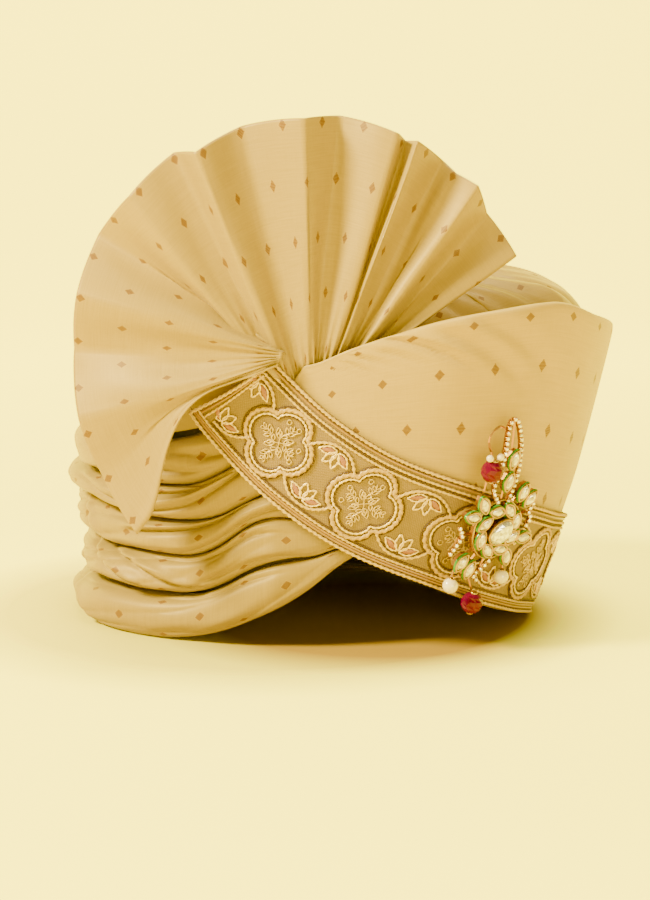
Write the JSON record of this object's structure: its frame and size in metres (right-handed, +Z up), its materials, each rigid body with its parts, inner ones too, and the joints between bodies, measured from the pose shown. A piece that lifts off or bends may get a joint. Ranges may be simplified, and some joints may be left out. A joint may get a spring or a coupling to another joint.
{
  "type": "tied turban",
  "caption": "Groom's ready-tied silk turban with a fan of pleats at the temple, an embroidered border and a jewelled brooch over the brow.",
  "frame": {"origin": "under the middle of the turban's box, on the surface that it stands on", "axes": "+Z up; -Y the way the wearer faces; -X the wearer's right, where the fan is"},
  "size_m": [0.2686, 0.2836, 0.244],
  "materials": {
    "cream_silk": "soft sheen, woven",
    "gold_embroidery": "gold thread on sheer ground",
    "rose_gold": "polished",
    "crystal": "cut and foiled",
    "ruby_glass": "cut, glossy",
    "pearl": "pearly"
  },
  "bodies": {
    "root": {"cap": "cream_silk", "front_panel": "cream_silk", "crown": "cream_silk", "fan": "cream_silk", "roll_1": "cream_silk", "roll_2": "cream_silk", "roll_3": "cream_silk", "roll_4": "cream_silk", "roll_5": "cream_silk", "border_band": "gold_embroidery", "brooch_frame": "rose_gold", "inner_petal_1": "crystal", "inner_petal_2": "crystal", "inner_petal_3": "crystal", "inner_petal_4": "crystal", "inner_petal_5": "crystal", "inner_petal_6": "crystal", "inner_petal_7": "crystal", "inner_petal_8": "crystal", "outer_petal_1": "crystal", "outer_petal_2": "crystal", "outer_petal_3": "crystal", "outer_petal_4": "crystal", "outer_petal_5": "crystal", "outer_petal_6": "crystal", "outer_petal_7": "crystal", "outer_petal_8": "crystal", "plume_stone_1": "crystal", "plume_stone_2": "crystal", "crystals_plume": "crystal", "crystals_left": "crystal", "crystals_right": "crystal", "crystals_lower": "crystal", "centre_stone": "crystal", "ruby_top": "ruby_glass", "ruby_low": "ruby_glass", "pearl_left": "pearl", "pearl_right": "pearl", "seed_pearl_1": "pearl", "seed_pearl_2": "pearl"}
  },
  "joints": []
}
